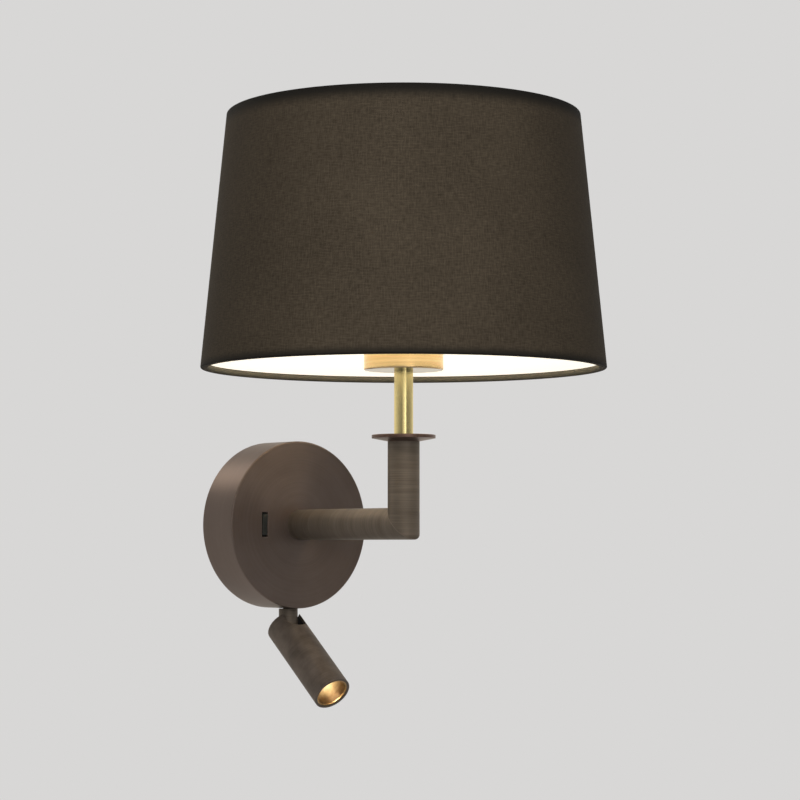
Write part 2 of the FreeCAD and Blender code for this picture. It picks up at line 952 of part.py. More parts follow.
def head_sleeve():
    length = head_back + head_reach
    bore = head_r - sleeve_wall
    sleeve = [
        (bore, 0),
        (head_r, 0),
        (head_r, length - sleeve_edge_r),
        round_corner(head_r, length, sleeve_edge_r),
        (bore, length),
    ]
    tube = turned(sleeve, head_axis(-head_back), down)
    return tilted(tube.cut(head_slot()))


def head_core():
    core = bar(core_r, head_axis(-head_back), head_axis(core_front))
    core = core.cut(head_slot())
    core = core.cut(bar(pivot_r + thread_gap, across_pivot(-head_r), across_pivot(head_r)))
    cheek = head_slot_width / 2
    core = core.cut(bar(pivot_washer_r + turn_gap, across_pivot(-cheek), across_pivot(cheek)))
    return tilted(core.cut(bar(reader_bore_r, head_axis(0), head_axis(head_reach))))


def pivot_screws():
    screws = []
    for side in (-1, 1):
        screws.append(bar(pivot_r, across_pivot(side * pivot_inside), across_pivot(side * (core_r - pivot_sunk))))
    return tilted(Part.makeCompound(screws))


def pivot_washers():
    washers = []
    for side in (-1, 1):
        inner = across_pivot(side * (pivot_face + turn_gap))
        outer = across_pivot(side * head_slot_width / 2)
        washers.append(pipe(pivot_washer_r, pivot_r + thread_gap, inner, outer))
    return tilted(Part.makeCompound(washers))


def led_board():
    return tilted(bar(core_r - board_gap, head_axis(core_front), head_axis(board_front)))


def led_chip():
    return tilted(bar(chip_r, head_axis(board_front), head_axis(board_front + chip_t)))


def reflector():
    mouth_r = core_r - reflector_lip
    lip = reflector_depth - reflector_lip_t
    middle_r = (reflector_throat_r + mouth_r) / 2 + reflector_bulge
    middle_h = reflector_depth / 2
    cone = [
        (reflector_throat_r, 0),
        ((middle_r, middle_h), (mouth_r, reflector_depth)),
        (core_r, reflector_depth),
        (core_r, lip),
        (mouth_r + reflector_wall, lip),
        ((middle_r + reflector_wall, middle_h - reflector_wall), (reflector_throat_r + reflector_wall, 0)),
    ]
    return tilted(turned(cone, head_axis(reflector_back), down))


# Leads


def lamp_lead():
    """From the terminal block through the nipple, the elbow and the rod to the lampholder."""
    middle = out * cover_depth
    block_side = [Vector(0, -lead_plane, terminal_lift), Vector(0, -lead_plane, 0), middle]
    lamp_side = [middle, upright, above(rod_top)]
    lead_in = lead(block_side, lamp_lead_r, lamp_lead_turn)
    return lead_in.fuse(lead(lamp_side, lamp_lead_r, elbow_bend)).removeSplitter()


def driver_lead():
    top = Vector(driver_lead_aside, -lead_plane, terminal_lift)
    return lead([top, Vector(driver_lead_aside, -lead_plane, -driver_below)], small_lead_r, small_lead_turn)


def switch_lead():
    side = -switch_aside + switch_width / 2 + switch_case_wall
    route = [
        Vector(-switch_lead_aside, -lead_plane, terminal_lift),
        Vector(-switch_lead_aside, -lead_plane, switch_lead_lift),
        Vector(side, -lead_plane, switch_lead_lift),
    ]
    return lead(route, small_lead_r, small_lead_turn)


def reader_lead():
    level = -driver_below - (driver_bottom - driver_below) * reader_lead_share
    route = [
        Vector(driver_aside, -reader_setback, level),
        stem_axis(level),
        stem_axis(neck_top_z + reader_stem_gap),
    ]
    return lead(route, small_lead_r, small_lead_turn)


def stem_lead():
    return bar(small_lead_r, stem_axis(neck_top_z), stem_axis(pivot.z))


def head_lead():
    return tilted(bar(small_lead_r, head_axis(slot_floor), head_axis(core_front)))


parts = {
    "wall_bracket": wall_bracket(),
    "cable_grommet": cable_grommet(),
    "backplate_cover": backplate_cover(),
    "cover_grub_screws": cover_grub_screws(),
    "terminal_block": terminal_block(),
    "terminal_screws": terminal_screws(),
    "earth_screw": earth_screw(),
    "led_driver": led_driver(),
    "switch_body": switch_body(),
    "switch_rocker": switch_rocker(),
    "arm_nipple": arm_nipple(),
    "arm_toothed_washer": arm_toothed_washer(),
    "arm_lock_nut": arm_lock_nut(),
    "arm_end_plug": arm_end_plug(),
    "arm_tube_horizontal": arm_tube_horizontal(),
    "arm_tube_upright": arm_tube_upright(),
    "arm_top_plug": arm_top_plug(),
    "collar_disc": collar_disc(),
    "stem_tube": stem_tube(),
    "threaded_rod": threaded_rod(),
    "gallery_cup": gallery_cup(),
    "gallery_washer": gallery_washer(),
    "gallery_nut": gallery_nut(),
    "holder_cap": holder_cap(),
    "holder_insert": holder_insert(),
    "holder_contact": holder_contact(),
    "holder_shell": holder_shell(),
    "holder_skirt": holder_skirt(),
    "shade_ring_nut": shade_ring_nut(),
    "bulb_contact": bulb_contact(),
    "bulb_insulator": bulb_insulator(),
    "bulb_cap": bulb_cap(),
    "bulb_globe": bulb_globe(),
    "shade_fabric": shade_fabric(),
    "shade_liner": shade_liner(),
    "shade_bottom_ring": wire_ring(low_ring, 0),
    "shade_top_ring": wire_ring(high_ring, 0),
    "shade_bottom_hem": hem(0, 1),
    "shade_top_hem": shade_top_hem(),
    "shade_spider": shade_spider(),
    "reader_stem": reader_stem(),
    "reader_saddle": reader_saddle(),
    "reader_stop_washer": reader_stop_washer(),
    "reader_spring_washer": reader_spring_washer(),
    "reader_nut": reader_nut(),
    "head_sleeve": head_sleeve(),
    "head_core": head_core(),
    "pivot_screws": pivot_screws(),
    "pivot_washers": pivot_washers(),
    "led_board": led_board(),
    "led_chip": led_chip(),
    "reflector": reflector(),
    "lamp_lead": lamp_lead(),
    "driver_lead": driver_lead(),
    "switch_lead": switch_lead(),
    "reader_lead": reader_lead(),
    "stem_lead": stem_lead(),
    "head_lead": head_lead(),
}

os.makedirs("parts", exist_ok=True)
for node, shape in parts.items():
    shape.exportStep("parts/" + node + ".step")
    print(node, len(shape.Solids), "solids", round(shape.Volume, 1), "mm3", "valid", shape.isValid())
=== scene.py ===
import json
import math

import bmesh
import bpy
from mathutils import Matrix, Vector


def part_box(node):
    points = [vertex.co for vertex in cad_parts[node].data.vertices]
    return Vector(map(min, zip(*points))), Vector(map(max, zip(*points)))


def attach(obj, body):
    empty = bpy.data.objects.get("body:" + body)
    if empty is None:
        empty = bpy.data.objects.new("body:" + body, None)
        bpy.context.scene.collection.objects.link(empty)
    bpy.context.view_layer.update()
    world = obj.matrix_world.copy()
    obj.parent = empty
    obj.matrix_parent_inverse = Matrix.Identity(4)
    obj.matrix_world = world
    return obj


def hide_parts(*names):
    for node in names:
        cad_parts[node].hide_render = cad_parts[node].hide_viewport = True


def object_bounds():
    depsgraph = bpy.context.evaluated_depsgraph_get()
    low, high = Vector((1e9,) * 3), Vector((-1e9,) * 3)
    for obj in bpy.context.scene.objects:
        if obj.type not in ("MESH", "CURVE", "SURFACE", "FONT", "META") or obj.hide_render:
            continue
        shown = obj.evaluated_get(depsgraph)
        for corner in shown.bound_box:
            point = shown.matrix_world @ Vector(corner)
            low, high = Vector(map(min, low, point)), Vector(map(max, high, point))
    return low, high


# Looks of an arm wall sconce with a reading light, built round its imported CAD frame.
# Metres, +Z up. The wall is the plane y = 0, and the lamp stands out along -Y.

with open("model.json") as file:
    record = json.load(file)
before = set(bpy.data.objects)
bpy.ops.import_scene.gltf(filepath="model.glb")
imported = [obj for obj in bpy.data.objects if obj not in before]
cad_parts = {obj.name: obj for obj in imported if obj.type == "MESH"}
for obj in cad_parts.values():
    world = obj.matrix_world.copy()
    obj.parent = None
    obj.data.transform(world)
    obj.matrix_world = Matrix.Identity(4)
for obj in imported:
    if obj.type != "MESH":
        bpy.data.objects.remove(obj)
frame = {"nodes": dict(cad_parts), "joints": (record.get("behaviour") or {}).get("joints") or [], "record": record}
cadLow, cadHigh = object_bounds()
nodes = frame["nodes"]
mm = 0.001
print("frame:", len(nodes), "nodes")


def addNode(tree, kind, settings=None, inputs=None):
    # an input is a value, a socket, or a node whose first output is meant
    made = tree.nodes.new(kind)
    for name, value in (settings or {}).items():
        setattr(made, name, value)
    for key, value in (inputs or {}).items():
        if isinstance(value, bpy.types.Node):
            value = value.outputs[0]
        if isinstance(value, bpy.types.NodeSocket):
            tree.links.new(value, made.inputs[key])
        else:
            made.inputs[key].default_value = value
    return made


def srgb(hexColour):
    # sRGB hex to the linear colour that a shader socket takes
    shares = [int(hexColour[place:place + 2], 16) / 255 for place in (1, 3, 5)]
    return [s / 12.92 if s <= 0.04045 else ((s + 0.055) / 1.055) ** 2.4 for s in shares] + [1]


def patternScale(size):
    # how often a pattern of this many millimetres repeats in a metre
    return 1 / (size * mm)


def newObject(name, data):
    made = bpy.data.objects.new(name, data)
    bpy.context.scene.collection.objects.link(made)
    return made


def middle(nodeName):
    low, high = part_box(nodeName)
    return (low + high) / 2


# Axes that the turned pieces were brushed round, read from the frame
upright = Vector((0, middle("stem_tube").y, 0))
tiltPivot = next(Vector(j["pos_m"]) for j in frame["joints"] if j["name"] == "reader_tilt")
wallAxis = (Vector((0, 0, 0)), Vector((0, -1, 0)))
uprightAxis = (upright, Vector((0, 0, 1)))
stemAxis = (Vector((0, tiltPivot.y, 0)), Vector((0, 0, 1)))
headAxis = (tiltPivot, (middle("led_chip") - tiltPivot).normalized())


# Camera, fitted to the outlines in the photograph

cameraLook = {
    "place": (-0.9478, -1.2971, -0.0128),
    "heading": -39.234,  # degrees from +Y, turned about Z
    "pitch": 3.446,
    "focalPixels": 2394.9,
    "pictureSide": 800,
    "sensor": 36.0,  # millimetres
    "nearest": 0.01,  # metres
}


def makeCamera(look):
    data = bpy.data.cameras.new("photoCamera")
    data.sensor_width = look["sensor"]
    data.lens = look["focalPixels"] * look["sensor"] / look["pictureSide"]
    data.clip_start = look["nearest"]
    camera = newObject("photoCamera", data)
    camera.location = look["place"]
    camera.rotation_euler = (math.radians(90 + look["pitch"]), 0, math.radians(look["heading"]))
    bpy.context.scene.camera = camera


makeCamera(cameraLook)
print("camera made")


# Materials

edgeSamples = 4  # rays that round an edge, in each material


def newMaterial(name):
    material = bpy.data.materials.new(name)
    material.use_nodes = True
    material.node_tree.nodes.clear()
    return material, material.node_tree


def weighed(tree, parts):
    # an even grey plus each pattern's swing about its own middle, times its weight
    evenGrey = 0.5
    total = evenGrey - sum(weight for pattern, weight in parts) / 2
    for pattern, weight in parts:
        total = addNode(
            tree, "ShaderNodeMath", {"operation": "MULTIPLY_ADD"}, {0: pattern, 1: weight, 2: total}
        )
    return addNode(tree, "ShaderNodeClamp", None, {0: total})


def toned(tree, look, tone, wear):
    # colour and roughness between the two ends that a look gives
    colour = addNode(
        tree, "ShaderNodeMix", {"data_type": "RGBA"},
        {0: tone, 6: srgb(look["dark"]), 7: srgb(look["light"])},
    )
    gloss = addNode(
        tree, "ShaderNodeMapRange", None,
        {"Value": wear, "To Min": look["smooth"], "To Max": look["rough"]},
    )
    return {"Base Color": colour.outputs[2], "Roughness": gloss}


def setStops(shades, stops):
    # a colour ramp's stops, each a place from 0 to 1 and its colour
    held = shades.color_ramp.elements
    for number, (place, colour) in enumerate(stops):
        stop = held[number] if number < len(held) else held.new(place)
        stop.position = place
        stop.color = srgb(colour)


def turnedMetal(name, look, axis):
    # Brushed or turned on a lathe: fine rings round the axis, wider bands, and a cloudy patina
    material, tree = newMaterial(name)
    point, way = axis
    place = addNode(tree, "ShaderNodeTexCoord").outputs["Object"]
    turn = Vector((0, 0, 1)).rotation_difference(way).to_euler()
    local = addNode(
        tree, "ShaderNodeMapping", {"vector_type": "TEXTURE"},
        {"Vector": place, "Location": point, "Rotation": turn},
    )
    axes = addNode(tree, "ShaderNodeSeparateXYZ", None, {0: local}).outputs
    flat = addNode(tree, "ShaderNodeCombineXYZ", None, {"X": axes["X"], "Y": axes["Y"]})
    radius = addNode(tree, "ShaderNodeVectorMath", {"operation": "LENGTH"}, {0: flat}).outputs["Value"]
    outwards = addNode(tree, "ShaderNodeVectorMath", {"operation": "NORMALIZE"}, {0: flat})
    around = addNode(
        tree, "ShaderNodeVectorMath", {"operation": "SCALE"}, {0: outwards, "Scale": look["wander"]}
    )

    def rings(pitch, detail):
        # noise that changes along the axis and away from it, and only slowly round it
        scale = patternScale(pitch)
        along = addNode(tree, "ShaderNodeMath", {"operation": "MULTIPLY"}, {0: axes["Z"], 1: scale})
        across = addNode(tree, "ShaderNodeMath", {"operation": "MULTIPLY"}, {0: radius, 1: scale})
        lift = addNode(tree, "ShaderNodeCombineXYZ", None, {"Z": along})
        spot = addNode(tree, "ShaderNodeVectorMath", {"operation": "ADD"}, {0: around, 1: lift})
        return addNode(
            tree, "ShaderNodeTexNoise", {"noise_dimensions": "4D"},
            {"Vector": spot, "W": across, "Scale": 1.0, "Detail": detail},
        )

    fine = rings(look["ringPitch"], look["ringDetail"])
    bands = rings(look["bandPitch"], look["bandDetail"])
    patina = addNode(
        tree, "ShaderNodeTexNoise", None,
        {"Vector": place, "Scale": patternScale(look["patinaSize"]), "Detail": look["patinaDetail"]},
    )
    stained = (patina, look["patinaShare"])
    tone = weighed(tree, [(fine, look["ringShare"]), (bands, look["bandShare"]), stained])
    wear = weighed(tree, [(fine, look["ringShare"]), stained])
    # painted highlight: the colour is lightened where the rounded edge's normal turns away from the face's
    softEdge = addNode(
        tree, "ShaderNodeBevel", {"samples": edgeSamples}, {"Radius": look["edge"] * mm}
    )
    trueNormal = addNode(tree, "ShaderNodeNewGeometry").outputs["Normal"]
    level = addNode(
        tree, "ShaderNodeVectorMath", {"operation": "DOT_PRODUCT"}, {0: softEdge, 1: trueNormal}
    )
    paintedEdgeHighlight = addNode(
        tree, "ShaderNodeMapRange", None,
        {
            "Value": level.outputs["Value"], "To Max": look["paintedEdgeHighlight"],
            "From Min": look["highlightFrom"], "From Max": look["highlightTo"],
        },
    )
    tone = addNode(tree, "ShaderNodeMath", {"operation": "ADD", "use_clamp": True}, {0: tone, 1: paintedEdgeHighlight})
    grooves = addNode(
        tree, "ShaderNodeBump", None,
        {
            "Strength": look["grooves"], "Distance": look["grooveDepth"] * mm,
            "Height": fine, "Normal": softEdge,
        },
    )
    circling = addNode(
        tree, "ShaderNodeVectorMath", {"operation": "CROSS_PRODUCT"}, {0: (0, 0, 1), 1: local}
    )
    unturned = addNode(
        tree, "ShaderNodeMapping", {"vector_type": "VECTOR"}, {"Vector": circling, "Rotation": turn}
    )
    grain = addNode(
        tree, "ShaderNodeVectorTransform",
        {"vector_type": "VECTOR", "convert_from": "OBJECT", "convert_to": "WORLD"}, {0: unturned},
    )
    inputs = toned(tree, look, tone, wear)
    if "polished" in look:
        under = addNode(
            tree, "ShaderNodeMath", {"operation": "LESS_THAN"}, {0: axes["Z"], 1: look["polishedBelow"]}
        )
        inputs["Roughness"] = addNode(
            tree, "ShaderNodeMix", {"data_type": "FLOAT"},
            {0: under, 2: inputs["Roughness"], 3: look["polished"]},
        )
    # painted light and shade: the colour is multiplied by shades set by depth along the axis
    if "paintedLightByDepth" in look:
        depth = addNode(
            tree, "ShaderNodeMapRange", None,
            {"Value": axes["Z"], "From Min": look["deepest"], "From Max": look["mouth"]},
        )
        shades = addNode(tree, "ShaderNodeValToRGB", None, {0: depth})
        setStops(shades, look["paintedLightByDepth"])
        inputs["Base Color"] = addNode(
            tree, "ShaderNodeMix", {"data_type": "RGBA", "blend_type": "MULTIPLY"},
            {0: 1.0, 6: inputs["Base Color"], 7: shades},
        ).outputs[2]
    shader = addNode(
        tree, "ShaderNodeBsdfPrincipled", None,
        {
            **inputs,
            "Metallic": look["metallic"], "Normal": grooves, "Tangent": grain,
            "Anisotropic": look["anisotropy"], "Anisotropic Rotation": look["drawnOut"],
        },
    )
    addNode(tree, "ShaderNodeOutputMaterial", None, {"Surface": shader})
    return material


# Brass stained to a brown bronze, brushed round the axis: dark, soft highlights drawn out by the grain
bronzeFace = {
    "dark": "#5b4e46", "light": "#7c6d64",
    "metallic": 0.85,  # the stain is an oxide, so the metal shows through it only in part
    "ringPitch": 0.7,  # real grooves are 0.2 mm, drawn this coarse so that they show
    "bandPitch": 9.0, "wander": 0.5, "patinaSize": 36.0,
    "ringDetail": 2.0, "bandDetail": 1.0, "patinaDetail": 4.0,
    "ringShare": 0.4, "bandShare": 0.4, "patinaShare": 0.8,
    "grooves": 0.2, "grooveDepth": 0.02,
    # painted highlight along the edges: how much lighter, and over which turn of the normal
    "edge": 0.6, "paintedEdgeHighlight": 0.8,
    "highlightFrom": 0.995, "highlightTo": 0.93,  # cosines between the rounded edge's normal and the face's
    "smooth": 0.36, "rough": 0.48, "anisotropy": 0.7,
    "drawnOut": 0.25,  # of a turn: highlights are drawn out across the grooves
}
coverBronze = turnedMetal("coverBrushedBronze", bronzeFace, wallAxis)

# The same finish on a lathe-turned tube: clear rings and light and dark bands across it
bronzeTube = {
    **bronzeFace,
    "dark": "#50473d", "light": "#7f7366", "metallic": 0.75,
    "ringPitch": 0.7, "bandPitch": 5.0, "wander": 0.3, "patinaSize": 16.0,
    "ringShare": 1.0, "bandShare": 0.55, "patinaShare": 0.5,
    "smooth": 0.54, "rough": 0.68, "anisotropy": 0.25,
}
levelBronze = turnedMetal("levelTubeBrushedBronze", bronzeTube, wallAxis)
uprightBronze = turnedMetal("uprightTubeBrushedBronze", bronzeTube, uprightAxis)
readerStemBronze = turnedMetal("readerStemBrushedBronze", bronzeTube, stemAxis)

# Handled more, so the stain is cloudy: olive and grey patches over faint rings
bronzeHead = {
    **bronzeTube,
    "dark": "#4b423a", "light": "#776b61",
    "bandPitch": 8.0, "patinaSize": 9.0,
    "ringShare": 0.6, "bandShare": 0.5, "patinaShare": 1.6,
}
headBronze = turnedMetal("headPatinatedBronze", bronzeHead, headAxis)

# Redder stain on the thin disc, which shows as a dark copper edge
redBronze = {
    **bronzeFace,
    "dark": "#53413a", "light": "#705a4f", "patinaSize": 12.0,
    "smooth": 0.34, "rough": 0.46, "anisotropy": 0.3,
}
collarBronze = turnedMetal("collarRedBronze", redBronze, uprightAxis)

# Satin brass, polished then finely brushed: pale yellow with narrow bright and dark streaks
brushedBrass = {
    **bronzeFace,
    "dark": "#d9c484", "light": "#eedb9e", "metallic": 1.0,
    "ringPitch": 0.8, "bandPitch": 6.0, "patinaSize": 14.0,
    "ringShare": 0.35, "bandShare": 0.3, "patinaShare": 0.3, "grooves": 0.0,
    "smooth": 0.2, "rough": 0.26, "anisotropy": 0.3,
}
stemBrass = turnedMetal("stemBrushedBrass", brushedBrass, uprightAxis)

# The same brass on the wide cup, coarser brushed, its colour painted peach for the lamp's warm light on it.
# Its underside is polished, and painted greyer as shade away from the lamp.
cupLow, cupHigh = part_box("gallery_cup")
undersideBand = 0.4
cupBrassPaintedLight = {
    **brushedBrass,
    "dark": "#c8a468", "light": "#f0d3a0", "ringPitch": 1.0, "ringShare": 1.0, "bandShare": 0.5,
    "smooth": 0.18, "rough": 0.28,
    "polishedBelow": cupLow.z + undersideBand * mm, "polished": 0.14,
    # painted shade: the lowest sliver of the cup is tinted grey-blue
    "paintedLightByDepth": ((0.0, "#a0aac4"), (0.02, "#ffffff")),
    "deepest": cupLow.z, "mouth": cupHigh.z,
}
galleryBrassPaintedLight = turnedMetal("galleryBrushedBrassPaintedLight", cupBrassPaintedLight, uprightAxis)

# Bare turned brass of inner fittings: duller than the stem
turnedBrass = {**brushedBrass, "dark": "#b3924f", "light": "#d6b878", "smooth": 0.3, "rough": 0.4}

# Black anodised aluminium, turned: near-black satin that keeps faint rings
anodisedCore = {
    **bronzeFace,
    "dark": "#1c1a18", "light": "#2c2a28", "metallic": 0.6,
    "smooth": 0.4, "rough": 0.55, "anisotropy": 0.3,
}

# Gold anodised aluminium, spun: a bright cup that throws the chip's light forwards in a wedge
spunDepths = [(v.co - headAxis[0]).dot(headAxis[1]) for v in nodes["reflector"].data.vertices]
goldCupPaintedLight = {
    **bronzeFace,
    "dark": "#b59f76", "light": "#f8eed4", "metallic": 0.8,
    "ringPitch": 0.8, "bandPitch": 2.5, "patinaSize": 2.0,
    "ringShare": 0.3, "bandShare": 0.3, "patinaShare": 0.9,
    "grooves": 0.1, "edge": 0.1, "paintedEdgeHighlight": 0.0, "smooth": 0.26, "rough": 0.36, "anisotropy": 0.72,
    # painted light: the colour is lightest by the chip and darkens towards the mouth, with a painted highlight on
    # the lip
    "paintedLightByDepth": (
        (0.0, "#ffffff"), (0.35, "#c4b8a6"), (0.65, "#7a6959"), (0.94, "#4e4236"), (0.97, "#ccb694"),
    ),
    "deepest": min(spunDepths), "mouth": max(spunDepths),
}


def plainMetal(name, look):
    # Plated or pressed: a soft mottle, and grit too fine to count
    material, tree = newMaterial(name)
    place = addNode(tree, "ShaderNodeTexCoord").outputs["Object"]
    mottle = addNode(
        tree, "ShaderNodeTexNoise", None,
        {"Vector": place, "Scale": patternScale(look["mottle"]), "Detail": look["mottleDetail"]},
    )
    grit = addNode(
        tree, "ShaderNodeTexNoise", None,
        {"Vector": place, "Scale": patternScale(look["grit"]), "Detail": look["gritDetail"]},
    )
    tone = weighed(tree, [(mottle, look["mottleShare"]), (grit, look["gritShare"])])
    softEdge = addNode(
        tree, "ShaderNodeBevel", {"samples": edgeSamples}, {"Radius": look["edge"] * mm}
    )
    dents = addNode(
        tree, "ShaderNodeBump", None,
        {
            "Strength": look["dents"], "Distance": look["dentDepth"] * mm,
            "Height": grit, "Normal": softEdge,
        },
    )
    shader = addNode(
        tree, "ShaderNodeBsdfPrincipled", None,
        {**toned(tree, look, tone, tone), "Metallic": 1.0, "Normal": dents},
    )
    addNode(tree, "ShaderNodeOutputMaterial", None, {"Surface": shader})
    return material


# Bright zinc plate on steel: bluish grey, slightly cloudy
zincPlate = {
    "dark": "#a3a6a9", "light": "#c7cacc", "smooth": 0.25, "rough": 0.4,
    "mottle": 3.0, "mottleDetail": 3.0, "mottleShare": 0.9,
    "grit": 0.5, "gritDetail": 1.0, "gritShare": 0.3,
    "dents": 0.15, "dentDepth": 0.02, "edge": 0.15,
}
# Nickel plate on pressed brass: warm silver, smooth
nickelPlate = {
    **zincPlate,
    "dark": "#b5b1a8", "light": "#d8d4cc", "smooth": 0.14, "rough": 0.26,
    "mottle": 5.0, "grit": 0.6, "edge": 0.2,
}


def mouldedPlastic(name, look):
    # Moulded, dipped or extruded: a fine grain, and a slow change of gloss
    material, tree = newMaterial(name)
    place = addNode(tree, "ShaderNodeTexCoord").outputs["Object"]
    grain = addNode(
        tree, "ShaderNodeTexVoronoi", {"feature": "SMOOTH_F1"},
        {"Vector": place, "Scale": patternScale(look["grain"])},
    )
    cloud = addNode(
        tree, "ShaderNodeTexNoise", None,
        {"Vector": place, "Scale": patternScale(look["cloud"]), "Detail": look["cloudDetail"]},
    )
    tone = weighed(tree, [(cloud, look["cloudShare"]), (grain, look["grainShare"])])
    softEdge = addNode(
        tree, "ShaderNodeBevel", {"samples": edgeSamples}, {"Radius": look["edge"] * mm}
    )
    pits = addNode(
        tree, "ShaderNodeBump", None,
        {
            "Strength": look["pits"], "Distance": look["pitDepth"] * mm,
            "Height": grain, "Normal": softEdge,
        },
    )
    shader = addNode(
        tree, "ShaderNodeBsdfPrincipled", None, {**toned(tree, look, tone, cloud), "Normal": pits}
    )
    addNode(tree, "ShaderNodeOutputMaterial", None, {"Surface": shader})
    return material


# Glass-filled polyamide, moulded: warm white, low gloss
whitePolyamide = {
    "dark": "#d3d0c6", "light": "#e4e2da", "grain": 0.5, "cloud": 14.0, "pits": 0.2, "edge": 0.3,
    "smooth": 0.4, "rough": 0.52,
    "cloudDetail": 2.0, "cloudShare": 0.8, "grainShare": 0.25, "pitDepth": 0.03,
}
# Black polycarbonate, moulded: dark with a soft sheen along its edges
blackPlastic = {
    **whitePolyamide,
    "dark": "#171816", "light": "#272824", "grain": 0.4, "cloud": 6.0, "pits": 0.3, "edge": 0.2,
    "smooth": 0.28, "rough": 0.4,
}
# Moulded rubber: black and dull
blackRubber = {
    **whitePolyamide,
    "dark": "#141414", "light": "#222221", "grain": 0.7, "cloud": 7.0, "pits": 0.3, "edge": 0.4,
    "smooth": 0.6, "rough": 0.75,
}
# Fired black glass of the lamp cap's insulator: deep and glossy
blackGlass = {
    **whitePolyamide,
    "dark": "#0c0c0d", "light": "#17171a", "grain": 1.5, "cloud": 6.0, "pits": 0.05, "edge": 0.3,
    "smooth": 0.08, "rough": 0.14,
}
# White powder coat on steel wire: slight orange peel
powderCoat = {
    **whitePolyamide,
    "dark": "#d6d4ce", "light": "#e9e7e2", "grain": 0.35, "cloud": 12.0, "pits": 0.35, "edge": 0.2,
    "smooth": 0.32, "rough": 0.45,
}
# White solder mask on the chip's board: smooth and slightly glossy
solderMask = {
    **whitePolyamide,
    "dark": "#dddcd5", "light": "#eeede7", "grain": 0.9, "cloud": 5.0, "pits": 0.05, "edge": 0.1,
    "smooth": 0.2, "rough": 0.3,
}
# Extruded PVC sheath of the inner leads: pale grey, faintly uneven
leadSheath = {
    **whitePolyamide,
    "dark": "#cfcdc6", "light": "#e3e1da", "grain": 0.6, "cloud": 9.0, "pits": 0.1, "edge": 0.1,
    "smooth": 0.38, "rough": 0.5,
}


def litMaterial(name, look):
    # A pale surface that glows, a little brighter where its cloud is light: a lamp's own glow, or a painted glow
    # on the lining
    material, tree = newMaterial(name)
    place = addNode(tree, "ShaderNodeTexCoord").outputs["Object"]
    cloud = addNode(
        tree, "ShaderNodeTexNoise", None,
        {"Vector": place, "Scale": patternScale(look["cloud"]), "Detail": look["cloudDetail"]},
    )
    tone = weighed(tree, [(cloud, look["cloudShare"])])
    glow = addNode(
        tree, "ShaderNodeMix", {"data_type": "RGBA"},
        {0: tone, 6: srgb(look["glowDark"]), 7: srgb(look["glowLight"])},
    )
    shader = addNode(
        tree, "ShaderNodeBsdfPrincipled", None,
        {
            **toned(tree, look, tone, tone),
            "Emission Color": glow.outputs[2], "Emission Strength": look["glow"],
        },
    )
    addNode(tree, "ShaderNodeOutputMaterial", None, {"Surface": shader})
    return material


# Blown opal glass, lit: an even warm white
opalGlass = {
    "dark": "#f3ead8", "light": "#fbf5e8", "glowDark": "#ffdcaa", "glowLight": "#ffe8c6",
    "cloud": 20.0, "cloudDetail": 2.0, "cloudShare": 0.8,
    "smooth": 0.12, "rough": 0.2, "glow": 6.0,
}
# Cream film that lines the shade: nearly white, with a painted glow standing for the lamp's light on it
linerPaintedGlow = {
    **opalGlass,
    "dark": "#f2ecdd", "light": "#faf6ea", "glowDark": "#fff6e4", "glowLight": "#fffbf2",
    "cloud": 60.0, "smooth": 0.5, "rough": 0.6, "glow": 0.95,
}
# Silicone with yellow phosphor over the chip, lit: the source of the spot
litPhosphor = {
    **opalGlass,
    "dark": "#f0c060", "light": "#f8d888", "glowDark": "#ffeccb", "glowLight": "#fff5dd",
    "cloud": 1.5, "smooth": 0.5, "rough": 0.6, "glow": 95.0,
}


